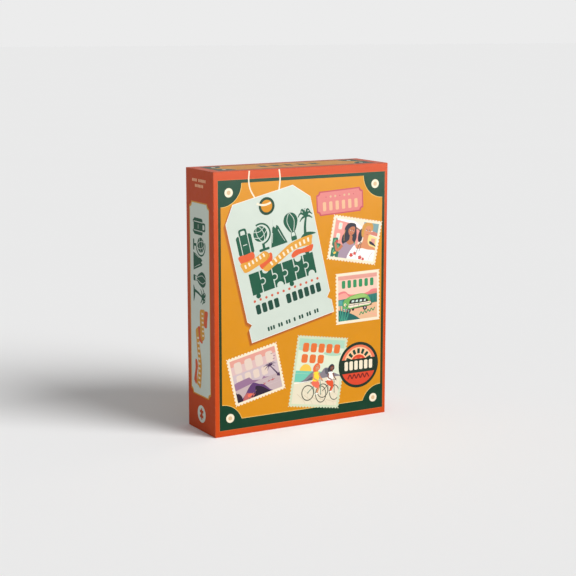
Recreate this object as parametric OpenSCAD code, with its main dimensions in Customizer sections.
// Boxed jigsaw puzzle. A full-depth lid lifts off a tray, and the tray holds a bag of
// cut pieces with a folded picture sheet on top of it.
//
// The box stands on its short side: X is its width, Y its depth with the front of the
// lid at -Y, and Z is up. The origin is the middle of the side that it stands on.
// The lid and the tray are each made the same way: a folded greyboard shell, paper tape
// down its four corners, and a printed wrap glued over both and turned in at the rim.

/* [Box] */
// Outside width of the closed box
box_w = 203; // [200:1:260]
// Outside height of the closed box, as it stands
box_h = 267; // [265:1:340]
// Outside depth of the closed box, front to back
box_d = 60.5; // [59:0.5:90]

/* [Board, tape and wrap] */
// Thickness of the greyboard shells
board_t = 1.8; // [1.2:0.05:2.2]
// Thickness of the printed wrap
wrap_t = 0.2; // [0.1:0.05:0.4]
// Thickness of the paper tape down each corner
tape_t = 0.15; // [0.1:0.05:0.3]
// How far the tape reaches along each side of its corner
tape_reach = 14; // [8:1:25]
// How far the wrap turns in past the rim
turn_in = 16; // [8:1:25]
// Width of the score that parts two panels of the wrap where it folds
score = 0.05; // [0.02:0.01:0.1]

/* [Fit of the lid] */
// Space between the sides of the tray and the sides of the lid
side_gap = 0.5; // [0.3:0.05:1.2]
// Space between the rim of the tray and the inside of the lid's front
rim_gap = 0.6; // [0.3:0.1:2]

/* [Puzzle] */
// Width of the finished picture
puzzle_w = 570; // [450:5:575]
// Height of the finished picture
puzzle_h = 810; // [700:5:860]
// Pieces across the picture
puzzle_cols = 25; // [25:1:28]
// Pieces down the picture
puzzle_rows = 40; // [36:1:40]
// Thickness of a piece
piece_t = 1.9; // [1.2:0.05:2.25]
// Radius of a knob
knob_r = 2.4; // [2:0.05:2.5]
// Distance from the edge of a piece to the centre of its knob
knob_out = 1.6; // [1.2:0.05:1.7]
// How far a knob may stray from the middle of its edge
knob_stray = 1.2; // [0:0.1:2]
// Space between two pieces that are joined
cut_gap = 0.06; // [0.02:0.01:0.2]

/* [Bag] */
// Thickness of the bag's film
film_t = 0.1; // [0.05:0.05:0.3]
// Height of the welded seam at each end of the bag
seam_h = 4; // [2:0.5:8]
// Space between the bag and the tray
bag_gap = 0.9; // [0.3:0.1:3]
// Space between the film and the pieces at the sides and the ends
film_gap = 0.3; // [0.1:0.1:0.6]
// Space between the film and the pieces at the front and the back
film_slack = 0.5; // [0.1:0.1:1]

/* [Picture sheet] */
// Thickness of the sheet's paper
paper_t = 0.15; // [0.1:0.05:0.3]
// Space between two leaves of the folded sheet
leaf_gap = 0.35; // [0.2:0.05:1]
// Space between the folded sheet and the sides of the tray
sheet_margin = 3; // [1:0.5:10]
// Space between the floor of the tray, the bag and the sheet as they lie on each other
lay_gap = 0.3; // [0.1:0.1:1]
// Free space between the folded sheet and the rim of the tray
headroom = 6.5; // [5:0.5:12]

/* [Hidden] */
// Rows of pieces in a layer run six and five across by turns, like eggs in a crate
ROW_SLOTS = 6;
LAYER_ROWS = 9;
LAYER_PIECES = LAYER_ROWS * ROW_SLOTS - floor(LAYER_ROWS / 2);
PIECES = puzzle_cols * puzzle_rows;
LAYERS = ceil(PIECES / LAYER_PIECES);
// Stepping through the picture by a prime number of pieces at a time shuffles it
SHUFFLE_STEP = 389;

// What the wrap and the tape take up between the outside and the board of a side
skin_t = wrap_t + tape_t;
side_t = skin_t + board_t;

// Outside of the tray, which slides inside the lid's turned-in wrap
tray_inset = side_t + wrap_t + side_gap;
tray_w = box_w - 2 * tray_inset;
tray_h = box_h - 2 * tray_inset;
back_y = box_d / 2;
front_y = -box_d / 2;
rim_y = front_y + wrap_t + board_t + rim_gap;
tray_d = back_y - rim_y;
mid_z = box_h / 2;

// Inside of the tray, within its turned-in wrap
floor_y = back_y - wrap_t - board_t;
inside_w = tray_w - 2 * side_t - 2 * wrap_t;
inside_h = tray_h - 2 * side_t - 2 * wrap_t;

// Folded sheet: folded once down its height and once across, so four leaves thick
double_leaf = 2 * paper_t + leaf_gap;
sheet_d = 2 * double_leaf + leaf_gap;
sheet_w = inside_w - 2 * sheet_margin;
sheet_h = inside_h - 2 * sheet_margin;
sheet_y = rim_y + headroom + sheet_d / 2;

// Bag: it fills the tray from the floor up to the sheet
bag_back_y = floor_y - lay_gap;
bag_d = bag_back_y - (sheet_y + sheet_d / 2 + lay_gap);
bag_y = bag_back_y - bag_d / 2;
bag_w = inside_w - 2 * bag_gap;
bag_h = inside_h - 2 * bag_gap - 2 * seam_h;

// Layers of pieces: each piece has a round slot that it fits at any turn
cell_w = puzzle_w / puzzle_cols;
cell_h = puzzle_h / puzzle_rows;
knob_reach = norm([max(cell_w, cell_h) / 2 + knob_out, knob_stray]) + knob_r;
piece_r = max(knob_reach, norm([cell_w, cell_h]) / 2);
stack_w = bag_w - 2 * film_t - 2 * film_gap;
stack_h = bag_h - 2 * film_t - 2 * film_gap;
stack_d = bag_d - 2 * film_t - 2 * film_slack;
slot_pitch = (stack_w - 2 * piece_r) / (ROW_SLOTS - 1);
row_pitch = (stack_h - 2 * piece_r) / (LAYER_ROWS - 1);
layer_pitch = (stack_d - piece_t) / (LAYERS - 1);

SHELLS = ["lid_board", "lid_corner_tapes", "lid_wrap", "tray_board", "tray_corner_tapes", "tray_wrap"];
LAYER_NAMES = [for (layer = [1 : LAYERS]) str("puzzle_pieces_layer_", layer < 10 ? "0" : "", layer)];

BOARD_GREY = "#a9a296";
TAPE_BROWN = "#b58e62";
WRAP_RED = "#d8602f";
WRAP_MINT = "#cfe0d2";
PIECE_ORANGE = "#e29a3a";
FILM_CLEAR = "#dfe8ea";
SHEET_TEAL = "#4f9f8c";

// A box of the given size, centred on X and Z, that runs from y = 0 towards +Y
module panel(w, d, h) {
    translate([-w / 2, 0, -h / 2]) cube([w, d, h]);
}

// Greyboard shell, open at y = depth, whose closed face lies at y = 0
module board_shell(w, depth, h) {
    difference() {
        panel(w, depth, h);
        translate([0, board_t, 0]) panel(w - 2 * board_t, depth, h - 2 * board_t);
    }
}

// Paper tape folded round the four corners of a shell of the given outside size
module corner_tapes(w, depth, h) {
    for (side_x = [0, 1], side_z = [0, 1])
        mirror([side_x, 0, 0]) mirror([0, 0, side_z])
            difference() {
                translate([w / 2 + tape_t - tape_reach, 0, h / 2 + tape_t - tape_reach])
                    cube([tape_reach, depth, tape_reach]);
                panel(w, depth, h);
            }
}

// One side panel of the wrap, with its outside face at z = 0: down the outside of the
// board, over the rim at y = depth, and in again along the inside of the board
module wrap_side(length, rim_length, turn_length, depth) {
    translate([-length / 2, 0, 0]) cube([length, depth, wrap_t]);
    translate([-rim_length / 2, depth - wrap_t, 0]) cube([rim_length, wrap_t, side_t + wrap_t]);
    translate([-turn_length / 2, depth - wrap_t - turn_in, side_t]) cube([turn_length, turn_in + wrap_t, wrap_t]);
}

// Printed wrap round a shell: a face panel at y = 0 and four side panels. The long
// sides run the whole height and the short sides fit between them. At the rim the
// short sides cover the corners and the long ones fit between those.
module wrap(w, depth, h) {
    flap_d = depth - wrap_t - score;
    skin_w = w - 2 * (wrap_t + score);
    turned_w = w - 2 * (side_t + wrap_t + score);
    turned_h = h - 2 * (side_t + wrap_t + score);
    panel(w, wrap_t, h);
    translate([0, wrap_t + score, 0])
        for (side = [0, 1]) {
            mirror([0, 0, side]) translate([0, 0, -h / 2])
                wrap_side(skin_w, skin_w, turned_w, flap_d);
            mirror([side, 0, 0]) translate([-w / 2, 0, 0]) rotate([0, 90, 0])
                wrap_side(h, turned_h, turned_h, flap_d);
        }
}

// Places a lid shell, whose closed face is the front of the box
module at_lid() {
    translate([0, front_y, mid_z]) children();
}

// Places a tray shell, whose closed face is the back of the box
module at_tray() {
    translate([0, back_y, mid_z]) rotate([0, 0, 180]) children();
}

module lid_board() {
    color(BOARD_GREY) at_lid() translate([0, wrap_t, 0])
        board_shell(box_w - 2 * skin_t, box_d - 2 * wrap_t, box_h - 2 * skin_t);
}

module lid_corner_tapes() {
    color(TAPE_BROWN) at_lid() translate([0, wrap_t + score, 0])
        corner_tapes(box_w - 2 * skin_t, box_d - 2 * wrap_t - score, box_h - 2 * skin_t);
}

module lid_wrap() {
    color(WRAP_RED) at_lid() wrap(box_w, box_d, box_h);
}

module tray_board() {
    color(BOARD_GREY) at_tray() translate([0, wrap_t, 0])
        board_shell(tray_w - 2 * skin_t, tray_d - 2 * wrap_t, tray_h - 2 * skin_t);
}

module tray_corner_tapes() {
    color(TAPE_BROWN) at_tray() translate([0, wrap_t + score, 0])
        corner_tapes(tray_w - 2 * skin_t, tray_d - 2 * wrap_t - score, tray_h - 2 * skin_t);
}

module tray_wrap() {
    color(WRAP_MINT) at_tray() wrap(tray_w, tray_d, tray_h);
}

// Strip folded in half along Y, seen from above: closed at x = 0 and open at x = length
module folded_strip(length, over_all, slot) {
    difference() {
        translate([0, -over_all / 2]) square([length, over_all]);
        translate([(over_all - slot) / 2, -slot / 2]) square([length, slot]);
    }
}

// The first fold runs along the bottom and the second one down the left side, so the
// slit between the first pair of leaves is open at the top and follows the second fold
module picture_sheet() {
    color(SHEET_TEAL) translate([-sheet_w / 2, sheet_y, mid_z - sheet_h / 2])
        difference() {
            linear_extrude(sheet_h) folded_strip(sheet_w, sheet_d, leaf_gap);
            translate([paper_t, 0, paper_t])
                linear_extrude(sheet_h) folded_strip(sheet_w, sheet_d - 2 * paper_t, leaf_gap + 2 * paper_t);
        }
}

// Sealed bag of clear film with a flat welded seam at each end
module piece_bag() {
    color(FILM_CLEAR, 0.4) translate([0, bag_y - bag_d / 2, mid_z]) {
        difference() {
            panel(bag_w, bag_d, bag_h);
            translate([0, film_t, 0])
                panel(bag_w - 2 * film_t, bag_d - 2 * film_t, bag_h - 2 * film_t);
        }
        translate([0, bag_d / 2 - film_t, 0])
            for (side = [0, 1])
                mirror([0, 0, side]) translate([-bag_w / 2, 0, bag_h / 2])
                    cube([bag_w, 2 * film_t, seam_h]);
    }
}

// Every cut is shared by the two pieces that it parts, so both ask for it by the same
// name: which way its knob points along +X or +Y, and how far the knob strays.
function cut_name(col, row, upright) = 1 + 2 * (row * (puzzle_cols + 1) + col) + upright;
function cut_rule(name) = rands(-1, 1, 2, name);
function points_on(rule) = rule[0] > 0 ? 1 : -1;

// Centres of the round cuts of a piece that are knobs (wanted = 1) or sockets (-1).
// The outer edge of the picture is straight and has neither.
function round_cuts(col, row, wanted) = [
    for (far = [0, 1], upright = [0, 1])
        let (
            next_col = col + far * upright,
            next_row = row + far * (1 - upright),
            line = upright == 1 ? next_col : next_row,
            last_line = upright == 1 ? puzzle_cols : puzzle_rows,
            rule = cut_rule(cut_name(next_col, next_row, upright)),
            edge = (far - 0.5) * (upright == 1 ? cell_w : cell_h),
            along = edge + points_on(rule) * knob_out,
            stray = rule[1] * knob_stray
        )
        if (line > 0 && line < last_line && points_on(rule) * (2 * far - 1) == wanted)
            upright == 1 ? [along, stray] : [stray, along]
];

// One piece of the picture, lying in XY about its own middle
module piece(col, row) {
    linear_extrude(piece_t, center = true)
        difference() {
            union() {
                square([cell_w - cut_gap, cell_h - cut_gap], center = true);
                for (place = round_cuts(col, row, 1)) translate(place) circle(knob_r - cut_gap / 2, $fn = 32);
            }
            for (place = round_cuts(col, row, -1)) translate(place) circle(knob_r + cut_gap / 2, $fn = 32);
        }
}

// Where a slot of a layer lies, in X and Z
function slot_row(slot) = 2 * floor(slot / (2 * ROW_SLOTS - 1)) + (slot % (2 * ROW_SLOTS - 1) < ROW_SLOTS ? 0 : 1);
function slot_place(slot) =
    let (
        row = slot_row(slot),
        odd = row % 2,
        across = slot % (2 * ROW_SLOTS - 1) - odd * ROW_SLOTS
    )
    [
        (across + odd / 2 - (ROW_SLOTS - 1) / 2) * slot_pitch,
        (row - (LAYER_ROWS - 1) / 2) * row_pitch
    ];

// One layer of loose pieces, each turned its own way and about half of them face down
module puzzle_pieces(layer) {
    first = (layer - 1) * LAYER_PIECES;
    color(PIECE_ORANGE)
        translate([0, bag_y + stack_d / 2 - piece_t / 2 - (layer - 1) * layer_pitch, mid_z])
            for (slot = [0 : min(LAYER_PIECES, PIECES - first) - 1]) {
                number = (first + slot) * SHUFFLE_STEP % PIECES;
                place = slot_place(slot);
                lie = rands(0, 360, 2, first + slot);
                translate([place[0], 0, place[1]])
                    rotate([90, 0, 0])
                        rotate([0, lie[1] < 180 ? 0 : 180, lie[0]])
                            piece(number % puzzle_cols, floor(number / puzzle_cols));
            }
}

lid_board();
lid_corner_tapes();
lid_wrap();
tray_board();
tray_corner_tapes();
tray_wrap();
picture_sheet();
piece_bag();
for (layer = [1 : LAYERS])
    puzzle_pieces(layer);
